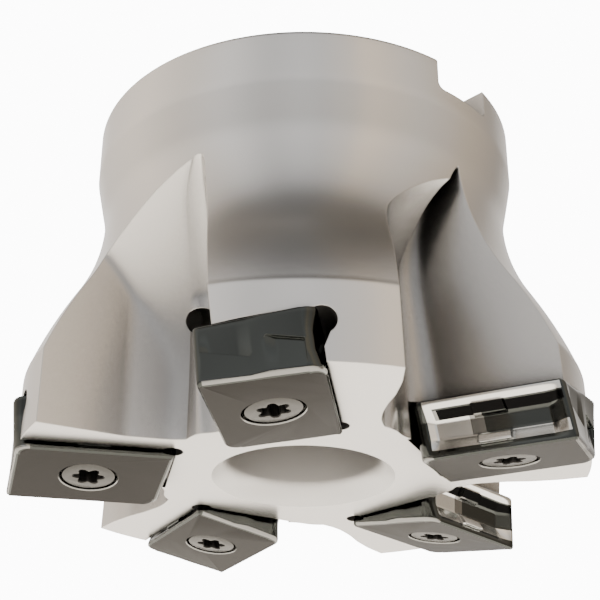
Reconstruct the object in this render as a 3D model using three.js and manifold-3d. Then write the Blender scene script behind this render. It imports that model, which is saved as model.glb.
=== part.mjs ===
// Shell-type face mill, 3 in: one steel body with five screwed-on, lay-down carbide inserts.
// Millimetres, +Z up towards the spindle. The origin is on the spindle axis at the height of
// the lowest cutting corners, and +X runs through one of the two drive slots.
import * as THREE from "three";
import { mergeVertices } from "three/addons/utils/BufferGeometryUtils.js";
import Module from "manifold-3d";

const wasm = await Module();
wasm.setup();

// ---- Driving dimensions -------------------------------------------------------------------
const TEETH = 5;
const FIRST_TOOTH_ANGLE = 19.4; // degrees from +X
const HEIGHT = 50.8; // arbor face above the lowest cutting corner
const FACE_HEIGHT = 2.7; // underside of the body above the lowest cutting corner
const RIM_RADIUS = 35.65; // body at the teeth
const RIM_TOP = 0.246 * HEIGHT; // where the flare leaves the rim
const RIM_EASE = 0.8; // the rim starts to lean in this far below the flare
const RIM_LEAN = 0.18; // and has come in this far there
const FLARE_TOP = 0.569 * HEIGHT; // where the flare meets the neck
const NECK_TOP = 0.744 * HEIGHT;
const HUB_BAND_BOTTOM = 0.858 * HEIGHT; // the plain cylindrical band runs from here to the top
const HUB_RADIUS = 28.5;
const NECK_RADIUS = HUB_RADIUS - 1;
const EDGE_ROUND = 0.8; // round of the hub's top edge

const ARBOR_BORE_RADIUS = 12.7;
const ARBOR_BORE_DEPTH = 19.8;
const BORE_CHAMFER = 0.6;
const BOLT_HOLE_RADIUS = 6.75;
const WEB_THICKNESS = 7;
const COUNTERBORE_RADIUS = 9.6;
const BOWL_RADIUS = 11.55; // mouth of the counterbore on the underside
const BOWL_DEPTH = 2.9;

const SLOT_WIDTH = 9.4;
const SLOT_DEPTH = 4.7;
const SLOT_CORNER = 1;
const SLOT_COUNT = 2;

const SCREW_CIRCLE_RADIUS = RIM_RADIUS - 8.95;
const INSERT_LENGTH = 18.8; // along the radius
const INSERT_WIDTH = 13.2; // along the cut
const INSERT_THICKNESS = 7.2;
const INSERT_TILT = 7.6; // degrees, axial clearance behind the cutting corner
const INSERT_SKEW = 0.5; // each leading edge sits this far out from the insert's middle
const INSERT_WAIST = 0.9; // depth of the groove round the flanks
const INSERT_LAND = 0.12; // share of the thickness that is flat flank at each face
const SHARP_CORNER = 0.5; // at the cutting corners
const BLUNT_CORNER = 1.3; // at the other two
const INSERT_EDGE = 0.25; // bevel between flank and face
const SEAT_GAP = 0.3;

const SCREW_HEAD_RADIUS = 3.25;
const SCREW_HEAD_RIM = 0.5; // straight part of the head
const SCREW_HEAD_EDGE = 0.2;
const SCREW_NECK_RADIUS = 2;
const SCREW_HEAD_CONE = 1.6;
const SCREW_LENGTH = 16;
const SCREW_POINT = 0.5; // bevel at the far end
const SCREW_CLEARANCE = 0.25;
const SCREW_SINK = 0.15; // top of the head below the insert's face
const DRIVE_OUTER_RADIUS = 1.75;
const DRIVE_INNER_RADIUS = 1.25;
const DRIVE_DEPTH = 1.6;
const THREAD_EXTRA_DEPTH = 1.5;
const DRILL_POINT = 0.6; // cone of the hole's end, per millimetre of radius

const RAKE_WALL_SETBACK = 2; // the tooth's front wall behind the insert's front edge
const GROOVE_FLOOR = 16.6; // distance of the chip groove's root from the axis
const GROOVE_RISE = 0.413 * HEIGHT; // where the groove starts to run out
const GROOVE_TOP = 0.7264 * HEIGHT; // where it has left the hub
const GROOVE_TOP_DEPTH = 2.2; // below the hub's surface
const GROOVE_FILLET = 4.6; // between the root and the tooth's front wall
const GULLET_TOP = 0.7185 * HEIGHT;
const RIDGE_AHEAD = 12; // the ridge between groove and back cut, ahead of the tooth's middle
const RIDGE_CURL = 2.2; // how far the ridge curls back to the tooth at its tip
const CURL_BOTTOM = 0.59 * HEIGHT;
const BACK_RISE = 9; // height where the back cut starts to run out
const BACK_ARC = 38.2; // radius of its run-out
const SECTION_REACH = 62; // gullet sections run out past the rim to here
const BACK_END = 34; // and this far ahead
const SECTION_FLARE = 16; // their outer corner lies this much further ahead

// Each kind of gullet: how much of its depth the groove keeps, the back cut's floor from the axis,
// how softly floor and back wall meet, how far the wall leans per millimetre of height, and the
// wall's line as [ahead of the tooth's middle, distance from the axis].
const CLOSE_GULLET = {
  groove: 1,
  floor: 15.3,
  softness: 2.2,
  lean: 0.08,
  wall: [[14.5, 15.2], [18.2, 18.2], [20.2, 20], [23.2, 22], [26.5, 23.6], [40, 29.5]],
};
const OPEN_GULLET = {
  groove: 0.2,
  floor: 14.8,
  softness: 1,
  lean: 0,
  wall: [[10, 13.5], [18.9, 16.7], [27.8, 22.2], [40, 29.6]],
};
const GULLETS = [CLOSE_GULLET, CLOSE_GULLET, CLOSE_GULLET, CLOSE_GULLET, OPEN_GULLET];

const EDGE_RELIEF_RADIUS = 1.6; // along the pocket's back upper edge
const EDGE_RELIEF_DROP = 1.5; // its axis below the seat
const EDGE_RELIEF_BACK = 0.2; // and behind the back wall
const EDGE_RELIEF_INSET = 1; // it starts this far out from the pocket's inner wall
const CORNER_RELIEF_RADIUS = 1.3; // up the pocket's inner back corner
const CORNER_RELIEF_INSET = 0.5; // its axis from both walls
const CORNER_RELIEF_DEPTH = 9;
const COOLANT_HOLE_RADIUS = 1.75;
const COOLANT_HEIGHT = 17.3; // where the hole opens on the gullet floor
const COOLANT_OFFSET = 10.4; // ahead of the tooth's middle line
const COOLANT_LENGTH = 11;
const COOLANT_PAST = 4; // of that, past the mouth
const COOLANT_SLOPE = 27; // degrees below level, towards the insert
const COOLANT_TURN = 28; // degrees, back towards the tooth

const BODY_SEGMENTS = 90;
const BORE_SEGMENTS = 60;
const SCREW_SEGMENTS = 28;
const OVERSIZE = 60; // reach of a cutting solid past the part
const PAST = 1; // overshoot of a cutting solid past the face it opens on

// ---- Derived values -----------------------------------------------------------------------
const rad = THREE.MathUtils.degToRad;
const toothPitch = (2 * Math.PI) / TEETH;
const leadingReach = INSERT_WIDTH / 2 - INSERT_EDGE;
const screwFaceHeight = leadingReach * Math.sin(rad(INSERT_TILT)); // its middle, at the screw
const seatDepth = INSERT_THICKNESS + SEAT_GAP;
const rakeAtFloor = INSERT_WIDTH / 2 - RAKE_WALL_SETBACK;
const rakeSlope = Math.tan(rad(INSERT_TILT));
const counterboreTop = HEIGHT - ARBOR_BORE_DEPTH - WEB_THICKNESS;

const X = new THREE.Vector3(1, 0, 0);
const Y = new THREE.Vector3(0, 1, 0);
const Z = new THREE.Vector3(0, 0, 1);

// ---- Solids -------------------------------------------------------------------------------
function solid(geometry, matrix) {
  const plain = geometry.index ? geometry.toNonIndexed() : geometry.clone();
  for (const name of Object.keys(plain.attributes)) {
    if (name !== "position") plain.deleteAttribute(name);
  }
  if (matrix) plain.applyMatrix4(matrix);
  const merged = mergeVertices(plain, 1e-4);
  return new wasm.Manifold(
    new wasm.Mesh({
      numProp: 3,
      vertProperties: merged.attributes.position.array,
      triVerts: new Uint32Array(merged.index.array),
    }),
  );
}

function meshOf(name, manifold, material) {
  const data = manifold.getMesh();
  const geometry = new THREE.BufferGeometry();
  geometry.setAttribute("position", new THREE.BufferAttribute(data.vertProperties, 3));
  geometry.setIndex(new THREE.BufferAttribute(data.triVerts, 1));
  geometry.computeVertexNormals();
  const mesh = new THREE.Mesh(geometry, material);
  mesh.name = name;
  return mesh;
}

const vec = (x, y) => new THREE.Vector2(x, y);

// A solid of revolution about Z from [radius, height] points, bottom axis point first.
function turned(points, segments) {
  const profile = points.map(([r, z]) => vec(r, z));
  const geometry = new THREE.LatheGeometry(profile, segments);
  return solid(geometry, new THREE.Matrix4().makeRotationX(Math.PI / 2));
}

// A closed solid through rings of points that all have the same number of corners.
function loft(rings) {
  const count = rings[0].length;
  const points = rings.flat();
  const faces = [];
  for (let k = 0; k < rings.length - 1; k++) {
    for (let i = 0; i < count; i++) {
      const a = k * count + i;
      const b = k * count + ((i + 1) % count);
      faces.push(a, b, b + count, a, b + count, a + count);
    }
  }
  const outline = rings[0].map(([x, y]) => vec(x, y));
  const lid = THREE.ShapeUtils.triangulateShape(outline, []);
  const lastRing = (rings.length - 1) * count;
  for (const [a, b, c] of lid) {
    faces.push(c, b, a, a + lastRing, b + lastRing, c + lastRing);
  }
  const geometry = new THREE.BufferGeometry();
  geometry.setAttribute("position", new THREE.Float32BufferAttribute(points.flat(), 3));
  geometry.setIndex(faces);
  return solid(geometry);
}

// A straight prism of an outline given in two of the part's axes, along the third.
function prism(outline, length, matrix) {
  const shape = new THREE.Shape(outline.map(([x, y]) => vec(x, y)));
  const geometry = new THREE.ExtrudeGeometry(shape, {
    depth: length,
    bevelEnabled: false,
    curveSegments: 8,
  });
  return solid(geometry, matrix);
}

// A straight round bar from a start point along a direction.
function rod(radius, start, direction, length) {
  const axis = direction.clone().normalize();
  const turn = new THREE.Quaternion().setFromUnitVectors(Y, axis);
  const middle = start.clone().addScaledVector(axis, length / 2);
  const one = new THREE.Vector3(1, 1, 1);
  const bar = new THREE.CylinderGeometry(radius, radius, length, 20);
  return solid(bar, new THREE.Matrix4().compose(middle, turn, one));
}

// A frame whose columns are three axes, with its origin at a point.
function frameAt(origin, xAxis, yAxis, zAxis) {
  return new THREE.Matrix4().makeBasis(xAxis, yAxis, zAxis).setPosition(origin);
}

// Tooth frame: x out along the tooth's middle line, y against the cut, z up.
function toothMatrix(index) {
  const angle = rad(FIRST_TOOTH_ANGLE) + index * toothPitch;
  return new THREE.Matrix4().makeRotationZ(angle);
}

// Insert frame: origin at the screw's place on the exposed face, z up into the body.
function insertMatrix() {
  const tilt = new THREE.Matrix4().makeRotationX(rad(INSERT_TILT));
  const place = new THREE.Matrix4().makeTranslation(SCREW_CIRCLE_RADIUS, 0, screwFaceHeight);
  return place.multiply(tilt);
}

function moved(manifold, matrix) {
  return manifold.transform(matrix.elements);
}

// ---- Insert -------------------------------------------------------------------------------
// A four-cornered outline at one height, sharp at the cutting corners; -y is the leading edge.
function insertOutline(inset, skew, z) {
  const halfLength = INSERT_LENGTH / 2 - inset;
  const halfWidth = INSERT_WIDTH / 2 - inset;
  const steps = 3;
  const corners = [
    [1, 1, 0, BLUNT_CORNER],
    [-1, 1, 90, SHARP_CORNER],
    [-1, -1, 180, BLUNT_CORNER],
    [1, -1, 270, SHARP_CORNER],
  ];
  const points = [];
  for (const [sx, sy, start, radius] of corners) {
    for (let k = 0; k <= steps; k++) {
      const a = rad(start + (90 * k) / steps);
      const x = sx * (halfLength - radius) + radius * Math.cos(a);
      const y = sy * (halfWidth - radius) + radius * Math.sin(a);
      points.push([x - (skew * y) / halfWidth, y, z]);
    }
  }
  return points;
}

function insertBlank() {
  const land = INSERT_THICKNESS * INSERT_LAND;
  const rows = [
    [INSERT_EDGE, 0],
    [0, INSERT_EDGE],
    [0, land],
    [INSERT_WAIST, INSERT_THICKNESS / 2],
    [0, INSERT_THICKNESS - land],
    [0, INSERT_THICKNESS - INSERT_EDGE],
    [INSERT_EDGE, INSERT_THICKNESS],
  ];
  return loft(
    rows.map(([inset, z]) => insertOutline(inset, INSERT_SKEW * (1 - (2 * z) / INSERT_THICKNESS), z)),
  );
}

function screwHole() {
  const r = SCREW_HEAD_RADIUS + SCREW_CLEARANCE;
  const neck = SCREW_NECK_RADIUS + SCREW_CLEARANCE;
  const rim = SCREW_SINK + SCREW_HEAD_RIM + SCREW_CLEARANCE;
  const cone = rim + SCREW_HEAD_CONE;
  const t = INSERT_THICKNESS;
  return turned(
    [
      [0, -PAST],
      [r, -PAST],
      [r, rim],
      [neck, cone],
      [neck, t - cone],
      [r, t - rim],
      [r, t + PAST],
      [0, t + PAST],
    ],
    SCREW_SEGMENTS,
  );
}

function insertSolid() {
  return insertBlank().subtract(screwHole());
}

// ---- Screw --------------------------------------------------------------------------------
function driveRecess() {
  const outline = [];
  const lobes = 6;
  const steps = 36;
  const mean = (DRIVE_OUTER_RADIUS + DRIVE_INNER_RADIUS) / 2;
  const swing = (DRIVE_OUTER_RADIUS - DRIVE_INNER_RADIUS) / 2;
  for (let k = 0; k < steps; k++) {
    const a = (k / steps) * 2 * Math.PI;
    const r = mean + swing * Math.cos(lobes * a);
    outline.push([r * Math.cos(a), r * Math.sin(a)]);
  }
  const place = new THREE.Matrix4().makeTranslation(0, 0, SCREW_SINK - PAST);
  return prism(outline, DRIVE_DEPTH + PAST, place);
}

function screwSolid() {
  const top = SCREW_SINK;
  const body = turned(
    [
      [0, top],
      [SCREW_HEAD_RADIUS - SCREW_HEAD_EDGE, top],
      [SCREW_HEAD_RADIUS, top + SCREW_HEAD_EDGE],
      [SCREW_HEAD_RADIUS, top + SCREW_HEAD_RIM],
      [SCREW_NECK_RADIUS, top + SCREW_HEAD_RIM + SCREW_HEAD_CONE],
      [SCREW_NECK_RADIUS, top + SCREW_LENGTH - SCREW_POINT],
      [SCREW_NECK_RADIUS - SCREW_POINT, top + SCREW_LENGTH],
      [0, top + SCREW_LENGTH],
    ],
    SCREW_SEGMENTS,
  );
  return body.subtract(driveRecess());
}

// ---- Body ---------------------------------------------------------------------------------
// Points along a cubic curve between two points, the first one left out.
function curve(from, pullFrom, pullTo, to, steps) {
  const line = new THREE.CubicBezierCurve(vec(...from), vec(...pullFrom), vec(...pullTo), vec(...to));
  return line.getPoints(steps).slice(1).map((p) => [p.x, p.y]);
}

// From the rim in and up to the neck, then out to the hub's band.
function bodyFlank() {
  const rim = [RIM_RADIUS - RIM_LEAN, RIM_TOP];
  const neck = [NECK_RADIUS, FLARE_TOP];
  const waist = [NECK_RADIUS, NECK_TOP];
  const hub = [HUB_RADIUS, HUB_BAND_BOTTOM];
  const flareRise = FLARE_TOP - RIM_TOP;
  const flareOut = RIM_RADIUS - NECK_RADIUS;
  const neckRise = NECK_TOP - FLARE_TOP;
  const bandRise = HUB_BAND_BOTTOM - NECK_TOP;
  const bandOut = HUB_RADIUS - NECK_RADIUS;
  const outward = [NECK_RADIUS + 0.7 * flareOut, RIM_TOP + 0.36 * flareRise];
  const inward = [NECK_RADIUS + 0.3 * flareOut, FLARE_TOP - 0.24 * flareRise];
  const neckLow = [NECK_RADIUS - 0.55, FLARE_TOP + 0.14 * neckRise];
  const neckHigh = [NECK_RADIUS - 0.45, NECK_TOP - 0.4 * neckRise];
  const bandLow = [NECK_RADIUS + 0.3 * bandOut, NECK_TOP + 0.35 * bandRise];
  const bandHigh = [HUB_RADIUS - 0.3 * bandOut, HUB_BAND_BOTTOM - 0.35 * bandRise];
  return [
    rim,
    ...curve(rim, outward, inward, neck, 6),
    ...curve(neck, neckLow, neckHigh, waist, 4),
    ...curve(waist, bandLow, bandHigh, hub, 2),
  ];
}

function bodyBlank() {
  const outer = [
    [0, FACE_HEIGHT],
    [RIM_RADIUS, FACE_HEIGHT],
    [RIM_RADIUS, RIM_TOP - RIM_EASE],
    ...bodyFlank(),
  ];
  for (let k = 0; k <= 3; k++) {
    const a = rad(30 * k);
    outer.push([
      HUB_RADIUS - EDGE_ROUND * (1 - Math.cos(a)),
      HEIGHT - EDGE_ROUND * (1 - Math.sin(a)),
    ]);
  }
  outer.push([0, HEIGHT]);
  return turned(outer, BODY_SEGMENTS);
}

function boreCut() {
  const rim = [BOWL_RADIUS, FACE_HEIGHT];
  const wall = [COUNTERBORE_RADIUS, FACE_HEIGHT + BOWL_DEPTH];
  const nearRim = [BOWL_RADIUS - 0.75, FACE_HEIGHT + 0.2 * BOWL_DEPTH];
  const nearWall = [COUNTERBORE_RADIUS + 0.15, FACE_HEIGHT + 0.5 * BOWL_DEPTH];
  const points = [
    [0, FACE_HEIGHT - PAST],
    [BOWL_RADIUS, FACE_HEIGHT - PAST],
    rim,
    ...curve(rim, nearRim, nearWall, wall, 4),
    [COUNTERBORE_RADIUS, counterboreTop],
    [BOLT_HOLE_RADIUS, counterboreTop],
    [BOLT_HOLE_RADIUS, counterboreTop + WEB_THICKNESS],
    [ARBOR_BORE_RADIUS, counterboreTop + WEB_THICKNESS],
    [ARBOR_BORE_RADIUS, HEIGHT - BORE_CHAMFER],
    [ARBOR_BORE_RADIUS + BORE_CHAMFER, HEIGHT],
    [ARBOR_BORE_RADIUS + BORE_CHAMFER, HEIGHT + PAST],
    [0, HEIGHT + PAST],
  ];
  return turned(points, BORE_SEGMENTS);
}

function driveSlotCut(index) {
  const half = SLOT_WIDTH / 2;
  const floor = HEIGHT - SLOT_DEPTH;
  const outline = [[half, HEIGHT + PAST], [-half, HEIGHT + PAST]];
  for (const [side, start] of [[-1, 180], [1, 270]]) {
    for (let k = 0; k <= 3; k++) {
      const a = rad(start + 30 * k);
      const y = side * (half - SLOT_CORNER) + SLOT_CORNER * Math.cos(a);
      outline.push([y, floor + SLOT_CORNER + SLOT_CORNER * Math.sin(a)]);
    }
  }
  const along = prism(outline, OVERSIZE, frameAt(new THREE.Vector3(0, 0, 0), Y, Z, X));
  return moved(along, new THREE.Matrix4().makeRotationZ((index * 2 * Math.PI) / SLOT_COUNT));
}

// ---- Gullets, in the frame of the tooth whose front wall they clear -----------------------
const rakeAt = (z) => rakeAtFloor + rakeSlope * (z - screwFaceHeight);

// The chip groove's root runs out on a quarter of an ellipse and leaves the hub at the top.
function grooveRoot(z) {
  const reach = HUB_RADIUS - GROOVE_TOP_DEPTH - GROOVE_FLOOR;
  const rise = Math.min(1, Math.max(0, (z - GROOVE_RISE) / (GROOVE_TOP - GROOVE_RISE)));
  const above = Math.max(0, z - GROOVE_TOP);
  return GROOVE_FLOOR + reach * (1 - Math.sqrt(1 - rise * rise)) + 3 * above;
}

function backFloor(z, floor) {
  const up = Math.max(0, z - BACK_RISE);
  return floor + BACK_ARC - Math.sqrt(BACK_ARC ** 2 - up ** 2);
}

function ridgeAt(z) {
  const up = Math.max(0, (z - CURL_BOTTOM) / (GULLET_TOP - CURL_BOTTOM));
  return RIDGE_AHEAD - RIDGE_CURL * up * up;
}

// Height of a line of points at one place, run on straight past its ends.
function alongLine(points, at) {
  let k = 1;
  while (k < points.length - 1 && at > points[k][0]) k++;
  const [x0, y0] = points[k - 1];
  const [x1, y1] = points[k];
  return y0 + ((y1 - y0) * (at - x0)) / (x1 - x0);
}

const softMax = (a, b, softness) => (a + b + Math.hypot(a - b, softness)) / 2;

// One level section: front wall, groove, ridge, back floor and the back wall of the tooth ahead.
function gulletSection(z, gullet) {
  const rake = rakeAt(z);
  const ridge = ridgeAt(z);
  const back = (ahead) => {
    const side = alongLine(gullet.wall, ahead - gullet.lean * (z - FACE_HEIGHT));
    return softMax(backFloor(z, gullet.floor), side, gullet.softness);
  };
  const crest = back(ridge);
  let root = grooveRoot(z);
  if (root < crest) root = crest + (root - crest) * gullet.groove;
  const fillet = Math.min(GROOVE_FILLET, 0.72 * (ridge - rake));
  const ring = [[SECTION_REACH, -rake, z]];
  for (let k = 0; k <= 4; k++) {
    const a = (Math.PI / 8) * k;
    ring.push([root + fillet * (1 - Math.sin(a)), -(rake + fillet * (1 - Math.cos(a))), z]);
  }
  const start = rake + fillet;
  for (let k = 1; k <= 2; k++) {
    const t = k / 2;
    ring.push([root + (crest - root) * t * t, -(start + (ridge - start) * t), z]);
  }
  const steps = 9;
  for (let k = 1; k <= steps; k++) {
    const ahead = ridge + ((BACK_END - ridge) * k) / steps;
    ring.push([back(ahead), -ahead, z]);
  }
  ring.push([SECTION_REACH, -BACK_END - SECTION_FLARE, z]);
  return ring;
}

function gulletCut(gullet) {
  const heights = [FACE_HEIGHT - 5 * PAST, BACK_RISE];
  const rise = GULLET_TOP + 2 * PAST - BACK_RISE;
  const levels = 9;
  // Closer together near the top, where the floors run out steeply.
  for (let k = 1; k <= levels; k++) {
    heights.push(BACK_RISE + rise * Math.sin((k / levels) * (Math.PI / 2)));
  }
  return loft(heights.map((z) => gulletSection(z, gullet)));
}

// The pocket that the insert seats in, with its corner reliefs and tapped hole, in the insert frame.
function insertPocket() {
  const inner = -(INSERT_LENGTH / 2 + INSERT_SKEW + SEAT_GAP);
  const back = INSERT_WIDTH / 2 + SEAT_GAP;
  const box = new THREE.BoxGeometry(OVERSIZE, 2 * back, OVERSIZE);
  const middle = [inner + OVERSIZE / 2, 0, seatDepth - OVERSIZE / 2];
  const place = new THREE.Matrix4().makeTranslation(...middle);
  const start = inner + EDGE_RELIEF_INSET;
  const edge = new THREE.Vector3(start, back + EDGE_RELIEF_BACK, seatDepth - EDGE_RELIEF_DROP);
  const corner = new THREE.Vector3(inner + CORNER_RELIEF_INSET, back - CORNER_RELIEF_INSET, -6 * PAST);
  // The back wall opens out towards the edge relief.
  const wedge = [
    [back - 0.4, seatDepth - 0.3],
    [back - 0.4, seatDepth - 3.2 * EDGE_RELIEF_DROP],
    [back - 0.1, seatDepth - 3.2 * EDGE_RELIEF_DROP],
    [back + EDGE_RELIEF_DROP, seatDepth - 1.2 * EDGE_RELIEF_DROP],
  ];
  return solid(box, place)
    .add(rod(EDGE_RELIEF_RADIUS, edge, X, OVERSIZE))
    .add(rod(CORNER_RELIEF_RADIUS, corner, Z, CORNER_RELIEF_DEPTH + 6 * PAST))
    .add(prism(wedge, OVERSIZE, frameAt(new THREE.Vector3(start, 0, 0), Y, Z, X)));
}

function tappedHole() {
  const r = SCREW_NECK_RADIUS + SCREW_CLEARANCE;
  const top = SCREW_SINK + SCREW_LENGTH + THREAD_EXTRA_DEPTH;
  return turned([[0, 0], [r, 0], [r, top], [0, top + r * DRILL_POINT]], SCREW_SEGMENTS);
}

// A coolant hole that opens on the gullet floor and points down at the insert.
function coolantHole() {
  const slope = rad(COOLANT_SLOPE);
  const axis = new THREE.Vector3(Math.cos(slope), 0, -Math.sin(slope));
  axis.applyMatrix4(new THREE.Matrix4().makeRotationZ(rad(COOLANT_TURN)));
  const mouth = new THREE.Vector3(GROOVE_FLOOR - 0.6, -COOLANT_OFFSET, COOLANT_HEIGHT);
  const start = mouth.addScaledVector(axis, COOLANT_PAST - COOLANT_LENGTH);
  return rod(COOLANT_HOLE_RADIUS, start, axis, COOLANT_LENGTH);
}

function bodySolid() {
  let body = bodyBlank().subtract(boreCut());
  for (let k = 0; k < SLOT_COUNT; k++) body = body.subtract(driveSlotCut(k));
  const seat = insertMatrix();
  const pocket = moved(insertPocket(), seat).add(moved(tappedHole(), seat));
  const small = pocket.add(coolantHole());
  for (let k = 0; k < TEETH; k++) {
    const cuts = gulletCut(GULLETS[k % GULLETS.length]).add(small);
    body = body.subtract(moved(cuts, toothMatrix(k)));
  }
  return body;
}

// ---- The part -----------------------------------------------------------------------------
const steel = new THREE.MeshStandardMaterial({ color: 0xb2aeab, roughness: 0.4, metalness: 0.9 });
const carbide = new THREE.MeshStandardMaterial({ color: 0x4a4946, roughness: 0.35, metalness: 0.6 });
const screwSteel = new THREE.MeshStandardMaterial({ color: 0x9c9a96, roughness: 0.35, metalness: 0.9 });

const faceMill = new THREE.Group();
faceMill.add(meshOf("cutter_body", bodySolid(), steel));

const insert = insertSolid();
const screw = screwSolid();
for (let k = 0; k < TEETH; k++) {
  const tooth = new THREE.Group();
  tooth.applyMatrix4(toothMatrix(k).multiply(insertMatrix()));
  tooth.add(meshOf(`insert_${k + 1}`, insert, carbide));
  tooth.add(meshOf(`insert_screw_${k + 1}`, screw, screwSteel));
  faceMill.add(tooth);
}

export default faceMill;
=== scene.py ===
"""Five-insert face mill: turned and milled steel body, carbide inserts and clamping screws."""

import math

import bpy
from mathutils import Matrix, Vector


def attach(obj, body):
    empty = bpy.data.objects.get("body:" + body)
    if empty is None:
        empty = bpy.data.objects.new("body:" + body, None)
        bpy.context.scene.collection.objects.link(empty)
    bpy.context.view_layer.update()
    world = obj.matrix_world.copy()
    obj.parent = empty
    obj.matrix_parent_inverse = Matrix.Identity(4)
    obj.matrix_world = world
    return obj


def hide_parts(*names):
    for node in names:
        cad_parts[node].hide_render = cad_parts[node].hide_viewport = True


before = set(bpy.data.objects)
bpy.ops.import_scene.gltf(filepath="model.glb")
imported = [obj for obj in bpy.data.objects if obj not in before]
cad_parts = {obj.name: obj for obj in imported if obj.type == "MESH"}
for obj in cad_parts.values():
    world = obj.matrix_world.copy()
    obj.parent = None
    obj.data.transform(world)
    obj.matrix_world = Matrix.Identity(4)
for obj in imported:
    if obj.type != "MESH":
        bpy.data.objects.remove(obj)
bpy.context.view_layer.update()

MM = 0.001

# The cutter, in millimetres, +Z up, on the spindle axis; z is 0 at the lowest cutting corners.
TEETH = 5
FIRST_TOOTH = 19.4  # degrees from +X
HEIGHT = 50.8
FACE = 2.7  # underside of the body
RIM = 35.63
RIM_TOP = 12.5
RIM_EASE, RIM_LEAN = 0.8, 0.18  # over this height below its top the rim comes in this far
HUB = 28.5
HUB_BAND = 43.6  # the plain band runs from here to the top
HUB_EDGE = 0.8  # round of the top edge
BORE, BORE_DEPTH = 12.7, 19.8
BORE_EDGE = 0.6
BOLT_HOLE, WEB = 6.75, 7.0
RECESS = 9.6  # counterbore for the bolt's head
BOWL, BOWL_DEPTH = 11.55, 2.9
SLOT_WIDTH, SLOT_DEPTH, SLOT_CORNER = 9.4, 4.7, 1.0
# Lean of the flank in degrees, inwards going up, as (height, lean).
FLANK_LEAN = ((RIM_TOP, 19.5), (21.6, 30.0), (35.0, 3.0), (38.5, -12.0), (HUB_BAND, -11.0))
FLANK_STEPS = 56
BODY_SEGMENTS, BORE_SEGMENTS = 300, 180
PAST = 1.0  # how far a cutter sticks out of what it cuts

SCREW_CIRCLE = 26.7
LONG, WIDE, THICK = 18.8, 13.2, 7.2  # insert
TILT = math.radians(7.6)
SKEW = 0.5
EDGE_BEVEL = 0.22
END_ROUND = 0.6  # along the short flank's edges
SHARP_CORNER, BLUNT_CORNER = 0.5, 1.7
CUTTING_EDGE_INSET = 0.25  # the lowest corner's distance in from the insert's long side
LONG_COLUMNS, SHORT_COLUMNS, CORNER_COLUMNS = 110, 70, 9  # round the insert's flanks
CHIP_GROOVE, PAD, LEDGE_CUT = 1.35, 0.55, 0.42  # depths in the flanks
# Height of the ledge across the short flank, as (place from -1 to 1, share of the thickness).
LEDGE = ((-0.9, 0.54), (-0.15, 0.35), (0.15, 0.65), (0.9, 0.46))
FRONT_GAP = 0.3  # between an insert and the front of its pocket
SEAT_SLACK = 0.12  # what is left open round a seated insert
RELIEF_HOLE, CORNER_HOLE = 1.6, 1.3  # along and across the pocket's inner corner
HEAD, NECK, HEAD_RIM, HEAD_CONE = 3.25, 2.0, 0.5, 1.6
SINK = 0.15
SCREW_LONG = 16.0
HEAD_CLEARANCE, NECK_CLEARANCE = 0.28, 0.25
THREAD_PITCH, THREAD_DEPTH = 0.8, 0.42
THREAD_START = 6.2  # below the head's top
DRIVE_MEAN, DRIVE_LOBE, DRIVE_ROUND, DRIVE_DEPTH = 1.6, 0.31, 0.04, 1.6

# Gullet, in the tooth's own frame: x out along its middle line, "ahead" is the way it cuts.
RAKE_SETBACK = 2.0  # front wall of the tooth behind the insert's front edge
GROOVE_FLOOR = 16.6
GROOVE_RISE = 21.0  # height where the groove starts to run out
TIP = 36.5  # height where everything leaves the hub
TIP_REACH = 26.3
GROOVE_FILLET = 4.6
RIDGE = 12.0  # how far ahead the ridge between groove and back cut lies
BACK_RISE = 9.0
BACK_ARC = 38.2
BACK_REACH = 34.0  # the back cut goes this far ahead
OUTSIDE = 62.0  # from the axis, clear of the body
CUT_TOP = 39.0
COOLANT_HOLE, COOLANT_TURN, COOLANT_SLOPE = 1.75, 28, 27  # radius, then degrees
COOLANT_HEIGHT = 17.3
# Each gullet: depth of the groove, floor of the back cut, how softly floor and wall meet, how
# far the wall leans with height, and the wall's line as (ahead of the tooth, from the axis).
WIDE_GULLET = (
    1.0, 15.3, 2.2, 0.08,
    ((14.5, 15.2), (18.2, 18.2), (20.2, 20.0), (23.2, 22.0), (26.5, 23.6), (40, 29.5)),
)
OPEN_GULLET = (0.05, 14.8, 0.35, 0.0, ((10.0, 13.5), (18.9, 16.7), (27.8, 22.2), (40, 29.6)))

# Camera, in metres.
CAMERA_AT = Vector((0.10858, -0.11165, -0.05166))
CAMERA_TO = Vector((-0.00037, -0.00036, 0.02785))
LENS = 77.9
ROLL = math.radians(0.22)
FRONT = -45.6  # degrees from +X to the camera's side

# Painted groove shade: how far steel looks for more steel, in metres, and the openness where it is
# fully shaded and not shaded at all.
SHADE_REACH, SHADE_DEEP, SHADE_OPEN = 0.03, 0.42, 0.86

# Studio, in metres and watts.
FLOOR_SIZE, FLOOR_LEVEL = 14, -0.075
ROOM_STRENGTH, BACKDROP_STRENGTH = 3.1, 12
LAMP_SIZE, LAMP_POWER, LAMP_COLOUR = 0.6, 10, (1.0, 0.97, 0.91)


# ---- Working with meshes ------------------------------------------------------------------
def drop_selection():
    if bpy.context.mode != "OBJECT":
        bpy.ops.object.mode_set(mode="OBJECT")
    bpy.ops.object.select_all(action="DESELECT")


def pick(piece):
    drop_selection()
    piece.select_set(True)
    bpy.context.view_layer.objects.active = piece


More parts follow.
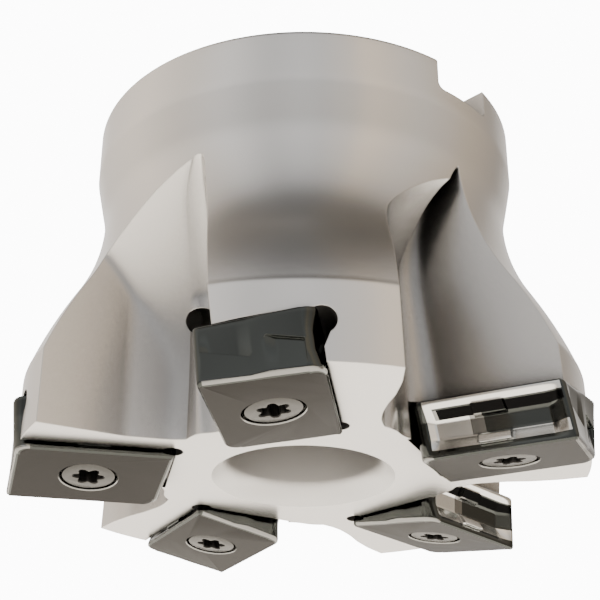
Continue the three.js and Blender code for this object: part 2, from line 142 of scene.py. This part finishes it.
def skin(name, rings):
    """A closed shell through rings of points in millimetres, all with the same count."""
    count = len(rings[0])
    points = [Vector(p) * MM for ring in rings for p in ring]
    faces = []
    for k in range(len(rings) - 1):
        for i in range(count):
            a, b = k * count + i, k * count + (i + 1) % count
            faces.append((a, b, b + count, a + count))
    faces.append(tuple(reversed(range(count))))
    last = (len(rings) - 1) * count
    faces.append(tuple(range(last, last + count)))
    mesh = bpy.data.meshes.new(name)
    mesh.from_pydata(points, [], faces)
    piece = bpy.data.objects.new(name, mesh)
    bpy.context.collection.objects.link(piece)
    face_outwards(piece)
    return piece


def face_outwards(piece):
    pick(piece)
    bpy.ops.object.mode_set(mode="EDIT")
    bpy.ops.mesh.select_all(action="SELECT")
    bpy.ops.mesh.remove_doubles(threshold=1e-7)
    bpy.ops.mesh.normals_make_consistent(inside=False)
    bpy.ops.object.mode_set(mode="OBJECT")


def turned(name, outline, segments):
    """Turns an outline of (radius, height) about the axis, from a disc extruded ring by ring."""
    drop_selection()
    radius, height = outline[0]
    bpy.ops.mesh.primitive_circle_add(
        vertices=segments, radius=radius * MM, fill_type="NGON", location=(0, 0, 0)
    )
    piece = bpy.context.object
    piece.name = name
    bpy.ops.object.mode_set(mode="EDIT")
    bpy.ops.mesh.select_all(action="SELECT")
    bpy.ops.transform.translate(value=(0, 0, height * MM))
    for next_radius, next_height in outline[1:]:
        step = (next_height - height) * MM
        bpy.ops.mesh.extrude_region_move(TRANSFORM_OT_translate={"value": (0, 0, step)})
        grow = next_radius / radius
        bpy.ops.transform.resize(
            value=(grow, grow, 1), center_override=(0, 0, next_height * MM)
        )
        radius, height = next_radius, next_height
    bpy.ops.object.mode_set(mode="OBJECT")
    face_outwards(piece)
    return piece


def place(piece, matrix):
    """Bakes a placing matrix in metres into the piece's mesh."""
    piece.data.transform(matrix)
    piece.data.update()


def copy_of(piece, name):
    twin = piece.copy()
    twin.data = piece.data.copy()
    twin.name = name
    bpy.context.collection.objects.link(twin)
    return twin


def cut(piece, other):
    """Cuts other out of the piece; the cut faces keep the cutter's material, be it a finish or
    painted shade.
    """
    pick(piece)
    mod = piece.modifiers.new("cut", "BOOLEAN")
    mod.operation = "DIFFERENCE"
    mod.solver = "MANIFOLD"
    mod.object = other
    mod.material_mode = "TRANSFER"
    bpy.ops.object.modifier_apply(modifier=mod.name)
    bpy.data.objects.remove(other, do_unlink=True)


def smooth(piece, degrees):
    pick(piece)
    bpy.ops.object.shade_smooth_by_angle(angle=math.radians(degrees))


def bezier(a, b, c, d, steps):
    """Points along a cubic curve, the first one left out."""
    points = []
    for k in range(1, steps + 1):
        t = k / steps
        s = 1 - t
        pulls = tuple(zip((s**3, 3 * s * s * t, 3 * s * t * t, t**3), (a, b, c, d)))
        points.append(tuple(sum(w * p[i] for w, p in pulls) for i in (0, 1)))
    return points


def tooth_place(index):
    return Matrix.Rotation(math.radians(FIRST_TOOTH + index * 360 / TEETH), 4, "Z")


def insert_height():
    """Screw face above the lowest cutting corner, at the screw."""
    return (WIDE / 2 - CUTTING_EDGE_INSET) * math.sin(TILT)


def insert_place():
    """From the insert's frame, z up into the body, to the tooth's."""
    where = Vector((SCREW_CIRCLE, 0, insert_height())) * MM
    return Matrix.Translation(where) @ Matrix.Rotation(TILT, 4, "X")


# ---- Body ---------------------------------------------------------------------------------
def flank_line():
    """The flank's points upwards to the hub's band, found from its lean, starting at the band."""
    rise = (HUB_BAND - RIM_TOP) / FLANK_STEPS
    radius, height = HUB, HUB_BAND
    points = [(radius, height)]
    for _ in range(FLANK_STEPS - 1):
        lean = along_line(FLANK_LEAN, height - rise / 2)
        radius += rise * math.tan(math.radians(lean))
        height -= rise
        points.append((radius, height))
    return points[::-1]


def body_blank():
    outline = [(RIM, FACE)]
    outline += [(RIM, FACE + (RIM_TOP - RIM_EASE - FACE) * k / 8) for k in range(1, 9)]
    start = (RIM - RIM_LEAN, RIM_TOP)
    ease = (RIM, RIM_TOP - RIM_EASE)
    outline += bezier(ease, (RIM, RIM_TOP - 0.4), (RIM - 0.06, RIM_TOP - 0.2), start, 3)
    outline += flank_line()
    outline += [(HUB, HUB_BAND + (HEIGHT - HUB_EDGE - HUB_BAND) * k / 6) for k in range(1, 7)]
    for k in range(1, 9):
        a = math.radians(90 * k / 8)
        across, up = HUB_EDGE * (1 - math.cos(a)), HUB_EDGE * (1 - math.sin(a))
        outline.append((HUB - across, HEIGHT - up))
    return turned("cutter_body_fine", outline, BODY_SEGMENTS)


def bore_cutter():
    top = HEIGHT - BORE_DEPTH
    mouth = (BOWL, FACE)
    outline = [(BOWL, FACE - PAST), mouth]
    end = (RECESS, FACE + BOWL_DEPTH)
    outline += bezier(mouth, (BOWL - 0.75, FACE + 0.55), (RECESS + 0.15, FACE + 1.4), end, 10)
    outline += [
        (RECESS, top - WEB),
        (BOLT_HOLE, top - WEB),
        (BOLT_HOLE, top),
        (BORE, top),
        (BORE, HEIGHT - BORE_EDGE),
        (BORE + BORE_EDGE, HEIGHT),
        (BORE + BORE_EDGE, HEIGHT + PAST),
    ]
    cutter = turned("bore_cutter", outline, BORE_SEGMENTS)
    cutter.data.materials.append(bpy.data.materials["bore_steel"])
    return cutter


def slot_cutter(side):
    half = SLOT_WIDTH / 2
    floor = HEIGHT - SLOT_DEPTH
    outline = [(half + 0.5, HEIGHT + PAST), (half + 0.5, HEIGHT + 0.01), (half, HEIGHT - 0.4)]
    for k in range(9):
        a = math.radians(-90 * k / 8)
        y = half - SLOT_CORNER + SLOT_CORNER * math.cos(a)
        outline.append((y, floor + SLOT_CORNER + SLOT_CORNER * math.sin(a)))
    outline += [(-y, z) for y, z in reversed(outline)]
    rings = [[(side * x, y, z) for y, z in outline] for x in (0, 40)]
    return skin("slot_cutter", rings)


def rake_line(z):
    return WIDE / 2 - RAKE_SETBACK + math.tan(TILT) * (z - insert_height())


def groove_floor(z):
    rise = min(1.0, max(0.0, (z - GROOVE_RISE) / (TIP + 0.4 - GROOVE_RISE)))
    run_out = (TIP_REACH - GROOVE_FLOOR) * (1 - math.sqrt(1 - rise * rise))
    return GROOVE_FLOOR + run_out + 3 * max(0.0, z - TIP - 0.4)


def back_floor(z, floor):
    if z <= BACK_RISE:
        return floor
    return floor + BACK_ARC - math.sqrt(BACK_ARC**2 - (z - BACK_RISE) ** 2)


def ridge_line(z):
    drop = max(0.0, (z - 30) / (TIP - 30))
    return RIDGE - 2.2 * drop * drop


def along_line(points, at):
    """Second value of a line of points where the first value is at, run on past its ends."""
    for (x0, y0), (x1, y1) in zip(points, points[1:]):
        if at <= x1 or (x1, y1) == points[-1]:
            return y0 + (y1 - y0) * (at - x0) / (x1 - x0)


def soft_max(a, b, softness):
    return (a + b + math.sqrt((a - b) ** 2 + softness**2)) / 2


def gullet_section(z, gullet):
    depth, floor, softness, lean, wall = gullet
    rake, ridge = rake_line(z), ridge_line(z)

    def back(ahead):
        side = along_line(wall, ahead - lean * (z - FACE))
        return soft_max(back_floor(z, floor), side, softness)

    crest = back(ridge)
    root = groove_floor(z)
    if root < crest:
        root = crest + (root - crest) * depth
    fillet = min(GROOVE_FILLET, 0.72 * (ridge - rake))
    ring = [(OUTSIDE, rake)]
    for k in range(13):
        a = math.radians(90 * k / 12)
        ring.append((root + fillet * (1 - math.sin(a)), rake + fillet * (1 - math.cos(a))))
    start = rake + fillet
    for k in range(1, 9):
        t = k / 8
        ring.append((root + (crest - root) * t * t, start + (ridge - start) * t))
    for k in range(1, 33):
        ahead = ridge + (BACK_REACH - ridge) * k / 32
        ring.append((back(ahead), ahead))
    ring.append((OUTSIDE, 50.0))
    return [(x, -ahead, z) for x, ahead in ring]


def gullet_cutter(gullet):
    heights = [-2.0] + [FACE + (CUT_TOP - FACE) * k / 52 for k in range(53)]
    return skin("gullet_cutter", [gullet_section(z, gullet) for z in heights])


def rod(radius, start, along, length):
    """A straight round cutter from a start point in millimetres."""
    rings = []
    along = Vector(along).normalized()
    side = along.orthogonal().normalized()
    other = along.cross(side)
    for k in (0, length):
        centre = Vector(start) + along * k
        rings.append([
            centre + radius * (side * math.cos(a) + other * math.sin(a))
            for a in (2 * math.pi * i / 32 for i in range(32))
        ])
    return skin("rod", rings)


def pocket_cutters():
    """The insert's seat with its relief holes and tapped hole, in the tooth frame."""
    inner = -(LONG / 2 + SKEW + SEAT_SLACK)
    back = WIDE / 2 + SEAT_SLACK
    top = THICK + SEAT_SLACK
    front = -WIDE / 2 - FRONT_GAP
    corners = [(inner, front), (50, front), (50, back), (inner, back)]
    seat = skin("seat", [[(x, y, z) for x, y in corners] for z in (-12, top)])
    flare = [
        (back - 0.4, top - 0.3), (back + 1.5, top - 1.8),
        (back - 0.1, top - 4.8), (back - 0.4, top - 4.8),
    ]
    cutters = [
        rod(RELIEF_HOLE, (inner + 1, back + 0.2, top - 1.5), (1, 0, 0), 50),
        skin("flare", [[(x, y, z) for y, z in flare] for x in (inner + 1, 50)]),
        rod(CORNER_HOLE, (inner + 0.5, back - 0.5, -6), (0, 0, 1), 15),
        rod(NECK + NECK_CLEARANCE, (0, 0, top - 1), (0, 0, 1), SINK + SCREW_LONG + 1.5 - top + 1),
    ]
    # Relief holes, flare and tapped hole take a near-black painted shade.
    for cutter in cutters:
        cutter.data.materials.append(bpy.data.materials["painted_hole_shade"])
    for cutter in cutters + [seat]:
        place(cutter, insert_place())
    return [seat] + cutters


def coolant_cutter(gullet):
    turn = Matrix.Rotation(math.radians(COOLANT_TURN), 3, "Z")
    slope = math.radians(COOLANT_SLOPE)
    along = turn @ Vector((math.cos(slope), 0, -math.sin(slope)))
    ahead = 10.4 if gullet is OPEN_GULLET else 12.0
    mouth = Vector((GROOVE_FLOOR - 0.6, -ahead, COOLANT_HEIGHT))
    hole = rod(COOLANT_HOLE, mouth - along * 7, along, 11)
    # Near-black painted shade inside the coolant hole.
    hole.data.materials.append(bpy.data.materials["painted_hole_shade"])
    return hole


def cutter_body():
    body = body_blank()
    body.data.materials.append(bpy.data.materials["satin_steel"])
    cut(body, bore_cutter())
    for side in (1, -1):
        cut(body, slot_cutter(side))
    for index in range(TEETH):
        gullet = OPEN_GULLET if index == TEETH - 1 else WIDE_GULLET
        for cutter in [gullet_cutter(gullet), coolant_cutter(gullet)] + pocket_cutters():
            place(cutter, tooth_place(index))
            cut(body, cutter)
    smooth(body, 28)
    return body


# ---- Insert -------------------------------------------------------------------------------
def ramp(a, b, x):
    return min(1.0, max(0.0, (x - a) / (b - a)))


def rake_depth(u, z):
    """How far the long flank is cut in at u along it, -1 to 1, and height z of the insert."""
    half = LONG / 2
    from_end = half - abs(u)
    from_edge = min(z, THICK - z)
    groove = CHIP_GROOVE * ramp(0.55, 2.6, from_edge)
    pad = PAD * (1 - ramp(1.9, 2.05, abs(u))) * ramp(1.1, 1.25, from_edge)
    pad *= 1 - ramp(2.5, 2.65, from_edge)
    ends = ramp(0.8, 2.6, from_end)
    return max(0.0, groove * ends - pad)


def end_depth(u, z):
    """The short flank: cut in under the ledge at one end and, turned half round, over it."""
    u = u / (WIDE / 2)
    if z > THICK / 2:
        u, z = -u, THICK - z
    side = ramp(0.1, 0.3, u) * (1 - ramp(0.76, 0.92, u))
    return LEDGE_CUT * side * ramp(0.6, THICK / 2 - 0.02, z) if z < THICK / 2 else 0.0


def ledge_warp(u, z):
    """Moves the middle of the short flank's height to the ledge there."""
    middle = THICK * along_line(LEDGE, u / (WIDE / 2))
    if z <= THICK / 2:
        return middle * z / (THICK / 2)
    return THICK - (THICK - middle) * (THICK - z) / (THICK / 2)


def insert_ring(z):
    """Points round the insert at one height, with the flanks' relief and the edge bevel."""
    from_face = min(z, THICK - z)
    bevel = max(0.0, EDGE_BEVEL - from_face)
    roll = max(0.0, END_ROUND - from_face)
    rounded = END_ROUND - math.sqrt(END_ROUND**2 - roll**2)
    share = 1 - 2 * z / THICK
    hx, hy = LONG / 2, WIDE / 2
    ring = []

    def side(start, end, normal, count, depth):
        on_end = abs(normal[0]) > 0.5
        for k in range(count):
            t = (k + 0.5) / count
            p = Vector(start).lerp(Vector(end), t)
            u = p.x if not on_end else p.y * (1 if normal[0] > 0 else -1)
            cut = depth(u, z) + (rounded if on_end else bevel)
            p -= Vector(normal) * cut
            ring.append((p.x, p.y, ledge_warp(u, z) if on_end else z))

    def corner(sx, sy, start, size, cut_a, cut_b):
        cx, cy = sx * (hx - size), sy * (hy - size)
        for k in range(CORNER_COLUMNS):
            t = k / (CORNER_COLUMNS - 1)
            a = math.radians(start + 90 * t)
            r = max(0.05, size - cut_a - (cut_b - cut_a) * t - bevel)
            ring.append((cx + r * math.cos(a), cy + r * math.sin(a), z))

    big, small = BLUNT_CORNER, SHARP_CORNER
    end, rake = end_depth, rake_depth
    side((hx, small - hy), (hx, hy - big), (1, 0), SHORT_COLUMNS, end)
    corner(1, 1, 0, big, rounded, rake(hx - big, z))
    side((hx - big, hy), (small - hx, hy), (0, 1), LONG_COLUMNS, rake)
    corner(-1, 1, 90, small, rake(hx - small, z), min(rounded, 0.4))
    side((-hx, hy - small), (-hx, big - hy), (-1, 0), SHORT_COLUMNS, end)
    corner(-1, -1, 180, big, rounded, rake(hx - big, z))
    side((big - hx, -hy), (hx - small, -hy), (0, -1), LONG_COLUMNS, rake)
    corner(1, -1, 270, small, rake(hx - small, z), min(rounded, 0.4))
    return [(x - SKEW * share * y / hy, y, height) for x, y, height in ring]


def insert_heights():
    low = [0, 0.06, 0.13, 0.22, 0.34, 0.46, 0.6]
    count = 17
    mid = THICK / 2
    low += [0.6 + (mid - 0.02 - 0.6) * k / count for k in range(1, count + 1)] + [mid]
    return low + [THICK - z for z in reversed(low[:-1])]


def flank_finish(column, z):
    """Which finish, painted highlight, painted light or painted shade the flank takes, by column
    round the insert and height from the screw's face.
    """
    # Besides the coated finish: a near-white painted highlight on rims and slopes, lit for painted
    # light and shaded for painted shade.
    coated, painted_highlight, lit, shaded = 0, 2, 3, 4
    short = SHORT_COLUMNS + CORNER_COLUMNS
    half_round = short + LONG_COLUMNS + CORNER_COLUMNS
    leading = half_round + short  # where the leading long flank starts
    if column < short or half_round <= column < leading:
        return lit if 0.05 < z < 0.5 else coated
    if not leading <= column < leading + LONG_COLUMNS:
        return coated
    along = (column - leading) / LONG_COLUMNS  # 0 at the inner end
    upper = THICK - z
    if 0.2 < upper < 1.05 or (along < 0.05 and 1.6 < z and upper > 0.2):
        return painted_highlight
    if upper < 1.3:
        return coated
    if upper < 2.4:
        return shaded if along > 0.08 else lit
    if z < 1.2:
        return coated
    if z < 2.5:
        return painted_highlight
    return painted_highlight if along < 0.3 else lit if along < 0.4 else coated


def colour_insert(blank, heights):
    """Ground faces get their own finish; rims get a painted highlight and slopes painted light or
    painted shade.
    """
    mesh = blank.data
    for kind in ("coated", "ground", "painted_highlight", "lit", "shaded"):
        mesh.materials.append(bpy.data.materials[f"{kind}_carbide"])
    count = len(mesh.vertices) // len(heights)
    for face in mesh.polygons:
        if len(face.vertices) > 4:
            face.material_index = 1
            continue
        row, column = divmod(min(face.vertices), count)
        if column == 0 and max(face.vertices) % count == count - 1:
            column = count - 1
        face.material_index = flank_finish(column, (heights[row] + heights[row + 1]) / 2)


def fine_insert():
    heights = insert_heights()
    blank = skin("insert_fine", [insert_ring(z) for z in heights])
    colour_insert(blank, heights)
    rim = SINK + HEAD_RIM + 0.25
    r, neck = HEAD + HEAD_CLEARANCE, NECK + NECK_CLEARANCE
    cone = rim + HEAD_CONE
    hole = turned(
        "screw_hole",
        [
            (r + 0.6, -0.5), (r + 0.1, 0.0), (r, 0.14), (r, rim), (neck, cone),
            (neck, THICK - cone), (r, THICK - rim), (r, THICK - 0.14),
            (r + 0.1, THICK), (r + 0.6, THICK + 0.5),
        ],
        72,
    )
    hole.data.materials.append(bpy.data.materials["lit_carbide"])
    cut(blank, hole)
    smooth(blank, 24)
    return blank


# ---- Screw --------------------------------------------------------------------------------
def thread_radius(angle, z):
    turns = (z / THREAD_PITCH - angle / (2 * math.pi)) % 1.0
    return NECK - THREAD_DEPTH * min(1.0, abs(2 * turns - 1) * 1.25)


def fine_screw():
    angles = [2 * math.pi * i / 64 for i in range(64)]
    under_head = SINK + HEAD_RIM + HEAD_CONE
    rows = [
        (HEAD - 0.22, SINK), (HEAD - 0.06, SINK + 0.06), (HEAD, SINK + 0.2),
        (HEAD, SINK + HEAD_RIM), (NECK, under_head), (NECK - 0.1, under_head + 0.1),
        (NECK - 0.1, SINK + 6.0),
    ]
    rings = [[(r * math.cos(a), r * math.sin(a), z) for a in angles] for r, z in rows]
    first, last = SINK + THREAD_START, SINK + SCREW_LONG - 0.5
    steps = 96
    for k in range(steps + 1):
        z = first + (last - first) * k / steps
        fade = min(1.0, (last - z) / 0.8 + 0.2)
        ring = []
        for a in angles:
            r = NECK - (NECK - thread_radius(a, z)) * fade - 0.25 * (1 - fade)
            ring.append((r * math.cos(a), r * math.sin(a), z))
        rings.append(ring)
    end = NECK - 0.6
    rings.append([(end * math.cos(a), end * math.sin(a), SINK + SCREW_LONG) for a in angles])
    screw = skin("insert_screw_fine", rings)
    outline = []
    for k in range(96):
        a = 2 * math.pi * k / 96
        r = DRIVE_MEAN + DRIVE_LOBE * math.cos(6 * a) - DRIVE_ROUND * math.cos(12 * a)
        outline.append((r * math.cos(a), r * math.sin(a)))
    levels = (
        (1.08, SINK - 0.5), (1.08, SINK - 0.01), (1.0, SINK + 0.12), (0.98, SINK + DRIVE_DEPTH)
    )
    drive = [[(x * size, y * size, z) for x, y in outline] for size, z in levels]
    cutter = skin("drive", drive)
    # The drive recess takes a black painted shade.
    cutter.data.materials.append(bpy.data.materials["painted_drive_shade"])
    screw.data.materials.append(bpy.data.materials["bright_screw"])
    cut(screw, cutter)
    smooth(screw, 30)
    return screw


# ---- Finishes -----------------------------------------------------------------------------
def finish_of(name, base, metallic, roughness, edge, grain=0.0, shade=0.0, edge_tint=1.0):
    """A metal finish: edge is how far its edges are rounded, in millimetres, and shade how much
    painted shade darkens its colour in grooves.
    """
    finish = bpy.data.materials.new(name)
    finish.use_nodes = True
    nodes, links = finish.node_tree.nodes, finish.node_tree.links
    bsdf = nodes["Principled BSDF"]
    bsdf.inputs["Base Color"].default_value = (*base, 1)
    bsdf.inputs["Metallic"].default_value = metallic
    bsdf.inputs["Roughness"].default_value = roughness
    bsdf.inputs["Specular Tint"].default_value = (edge_tint, edge_tint, edge_tint, 1)
    if edge:
        soft = nodes.new("ShaderNodeBevel")
        soft.samples = 4
        soft.inputs["Radius"].default_value = edge * MM
        links.new(soft.outputs["Normal"], bsdf.inputs["Normal"])
    if shade:
        # Painted shade: the colour is made dimmer in the grooves, where steel only sees more steel.
        nearby = nodes.new("ShaderNodeAmbientOcclusion")
        nearby.samples = 6
        nearby.inputs["Distance"].default_value = SHADE_REACH
        fade = nodes.new("ShaderNodeMapRange")
        fade.inputs["From Min"].default_value = SHADE_DEEP
        fade.inputs["From Max"].default_value = SHADE_OPEN
        tone = nodes.new("ShaderNodeMix")
        tone.data_type = "RGBA"
        tone.inputs["A"].default_value = (*(v * (1 - shade) for v in base), 1)
        tone.inputs["B"].default_value = (*base, 1)
        links.new(nearby.outputs["AO"], fade.inputs["Value"])
        links.new(fade.outputs["Result"], tone.inputs["Factor"])
        links.new(tone.outputs["Result"], bsdf.inputs["Base Color"])
    if grain:
        where = nodes.new("ShaderNodeTexCoord")
        noise = nodes.new("ShaderNodeTexNoise")
        noise.inputs["Scale"].default_value = 900
        noise.inputs["Detail"].default_value = 4
        bump = nodes.new("ShaderNodeBump")
        bump.inputs["Strength"].default_value = grain
        bump.inputs["Distance"].default_value = 0.00003
        links.new(where.outputs["Object"], noise.inputs["Vector"])
        links.new(noise.outputs["Fac"], bump.inputs["Height"])
        if edge:
            links.new(soft.outputs["Normal"], bump.inputs["Normal"])
        links.new(bump.outputs["Normal"], bsdf.inputs["Normal"])


# ---- Studio -------------------------------------------------------------------------------
def add_camera():
    data = bpy.data.cameras.new("camera")
    data.lens = LENS
    data.sensor_width = 36
    data.clip_start = 0.005
    camera = bpy.data.objects.new("camera", data)
    bpy.context.collection.objects.link(camera)
    aim = (CAMERA_TO - CAMERA_AT).to_track_quat("-Z", "Y").to_matrix().to_4x4()
    camera.matrix_world = Matrix.Translation(CAMERA_AT) @ aim @ Matrix.Rotation(ROLL, 4, "Z")
    bpy.context.scene.camera = camera


def ramp_of(nodes, stops):
    """A colour ramp node from (position, (r, g, b)) stops in order."""
    node = nodes.new("ShaderNodeValToRGB")
    elements = node.color_ramp.elements
    elements[0].position, elements[0].color = stops[0][0], (*stops[0][1], 1)
    elements[1].position, elements[1].color = stops[-1][0], (*stops[-1][1], 1)
    for position, colour in stops[1:-1]:
        elements.new(position).color = (*colour, 1)
    return node


def tinted(value, warmth):
    return (value * (1 + 0.5 * warmth), value, value * (1 - 0.6 * warmth))


def add_world():
    """A pale room: dark overhead, brightest behind the cutter, warmer and dimmer to one side."""
    world = bpy.data.worlds.new("studio")
    world.use_nodes = True
    nodes, links = world.node_tree.nodes, world.node_tree.links
    where = nodes.new("ShaderNodeTexCoord")
    split = nodes.new("ShaderNodeSeparateXYZ")
    links.new(where.outputs["Generated"], split.inputs[0])
    # Brightness by the angle above the horizon.
    heights = [
        (-20, 1.0), (-3, 0.8), (3, 0.42), (9, 0.55), (18, 0.76), (30, 0.82), (44, 0.76),
        (56, 0.64), (64, 0.42), (69, 0.13), (80, 0.1), (90, 0.12),
    ]
    levels = [
        ((math.sin(math.radians(angle)) + 1) / 2, (v, v * 0.985, v * 0.97)) for angle, v in heights
    ]
    level = ramp_of(nodes, levels)
    half = nodes.new("ShaderNodeMapRange")
    half.inputs["From Min"].default_value = -1
    links.new(split.outputs["Z"], half.inputs["Value"])
    links.new(half.outputs["Result"], level.inputs["Fac"])

    turn = nodes.new("ShaderNodeMath")
    turn.operation = "ARCTAN2"
    links.new(split.outputs["Y"], turn.inputs[0])
    links.new(split.outputs["X"], turn.inputs[1])
    shift = nodes.new("ShaderNodeMath")
    shift.operation = "MULTIPLY_ADD"
    shift.inputs[1].default_value = 1 / (2 * math.pi)
    shift.inputs[2].default_value = 0.5 - FRONT / 360
    wrap = nodes.new("ShaderNodeMath")
    wrap.operation = "FRACT"
    links.new(turn.outputs[0], shift.inputs[0])
    links.new(shift.outputs[0], wrap.inputs[0])
    # Brightness and warmth by the angle round from the camera's side, anticlockwise from above.
    sides = [
        (-180, 2.0, 0.0), (-162, 1.7, 0.04), (-140, 1.1, 0.16), (-98, 1.35, 0.22),
        (-66, 1.05, 0.16), (-42, 1.2, 0.02), (-20, 0.82, 0.0), (0, 1.0, -0.02),
        (10, 0.84, -0.03), (18, 0.98, 0.12), (24, 0.86, 0.04), (32, 1.15, 0.34),
        (46, 0.98, 0.26), (62, 0.88, 0.12), (92, 0.62, 0.36), (128, 0.38, 0.2),
        (156, 1.1, 0.08), (170, 1.9, 0.0), (180, 2.0, 0.0),
    ]
    tints = [((side + 180) / 360, tinted(v / 2.5, warmth)) for side, v, warmth in sides]
    around = ramp_of(nodes, tints)
    links.new(wrap.outputs[0], around.inputs["Fac"])
    both = nodes.new("ShaderNodeMix")
    both.data_type = "RGBA"
    both.blend_type = "MULTIPLY"
    both.inputs["Factor"].default_value = 1
    links.new(level.outputs["Color"], both.inputs["A"])
    links.new(around.outputs["Color"], both.inputs["B"])
    back = nodes["Background"]
    links.new(both.outputs["Result"], back.inputs["Color"])
    back.inputs["Strength"].default_value = ROOM_STRENGTH
    white = nodes.new("ShaderNodeBackground")
    white.inputs["Color"].default_value = (1, 1, 1, 1)
    white.inputs["Strength"].default_value = BACKDROP_STRENGTH
    path = nodes.new("ShaderNodeLightPath")
    mix = nodes.new("ShaderNodeMixShader")
    links.new(path.outputs["Is Camera Ray"], mix.inputs[0])
    links.new(back.outputs[0], mix.inputs[1])
    links.new(white.outputs[0], mix.inputs[2])
    links.new(mix.outputs[0], nodes["World Output"].inputs["Surface"])
    bpy.context.scene.world = world


def add_floor():
    drop_selection()
    bpy.ops.mesh.primitive_plane_add(size=FLOOR_SIZE, location=(0, 0, FLOOR_LEVEL))
    floor = bpy.context.object
    floor.name = "floor"
    paint = bpy.data.materials.new("pale_floor")
    paint.use_nodes = True
    bsdf = paint.node_tree.nodes["Principled BSDF"]
    bsdf.inputs["Base Color"].default_value = (0.92, 0.885, 0.83, 1)
    bsdf.inputs["Roughness"].default_value = 0.7
    floor.data.materials.append(paint)


def add_wash(name, at):
    """A square lamp aimed at the cutter, which gives no reflection of its own."""
    data = bpy.data.lights.new(name, "AREA")
    data.shape = "RECTANGLE"
    data.size = data.size_y = LAMP_SIZE
    data.energy = LAMP_POWER
    data.color = LAMP_COLOUR
    lamp = bpy.data.objects.new(name, data)
    bpy.context.collection.objects.link(lamp)
    lamp.location = at
    lamp.rotation_euler = (Vector((0, 0, 0.02)) - Vector(at)).to_track_quat("-Z", "Y").to_euler()
    lamp.visible_glossy = False


# ---- Assembly -----------------------------------------------------------------------------
def dress(piece, body, node):
    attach(piece, body)
    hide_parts(node)


add_camera()
add_world()
add_floor()
add_wash("wash_left", (-0.45, -0.25, 0.4))
add_wash("wash_right", (0.35, 0.45, 0.4))

finish_of("satin_steel", (0.74, 0.725, 0.71), 1.0, 0.26, 0.22, grain=0.25, shade=0.9)
finish_of("bore_steel", (0.64, 0.63, 0.62), 1.0, 0.36, 0.3, grain=0.2)
# Near-black painted shade for holes in the body.
finish_of("painted_hole_shade", (0.07, 0.068, 0.066), 0.6, 0.45, 0.05)
# Black painted shade for the screw's drive recess.
finish_of("painted_drive_shade", (0.015, 0.014, 0.013), 0.7, 0.4, 0.0)
finish_of("coated_carbide", (0.072, 0.077, 0.073), 1.0, 0.12, 0.1)
finish_of("ground_carbide", (0.031, 0.029, 0.027), 1.0, 0.3, 0.0, edge_tint=0.7)
# Painted highlight, painted light and painted shade for the insert's flanks, beside its coated and
# ground carbide.
finish_of("painted_highlight_carbide", (0.85, 0.85, 0.83), 1.0, 0.2, 0.1)
finish_of("lit_carbide", (0.3, 0.3, 0.29), 1.0, 0.16, 0.1)
finish_of("shaded_carbide", (0.006, 0.006, 0.006), 1.0, 0.2, 0.1, edge_tint=0.4)
finish_of("bright_screw", (0.075, 0.073, 0.069), 1.0, 0.26, 0.06)

dress(cutter_body(), "cutter", "cutter_body")
one_insert, one_screw = fine_insert(), fine_screw()
for index in range(TEETH):
    where = tooth_place(index) @ insert_place()
    number = index + 1
    insert = copy_of(one_insert, f"insert_fine_{number}")
    screw = copy_of(one_screw, f"insert_screw_fine_{number}")
    for piece in (insert, screw):
        place(piece, where)
    dress(insert, f"tooth_insert_{number}", f"insert_{number}")
    dress(screw, f"clamp_screw_{number}", f"insert_screw_{number}")
for spare in (one_insert, one_screw):
    bpy.data.objects.remove(spare, do_unlink=True)
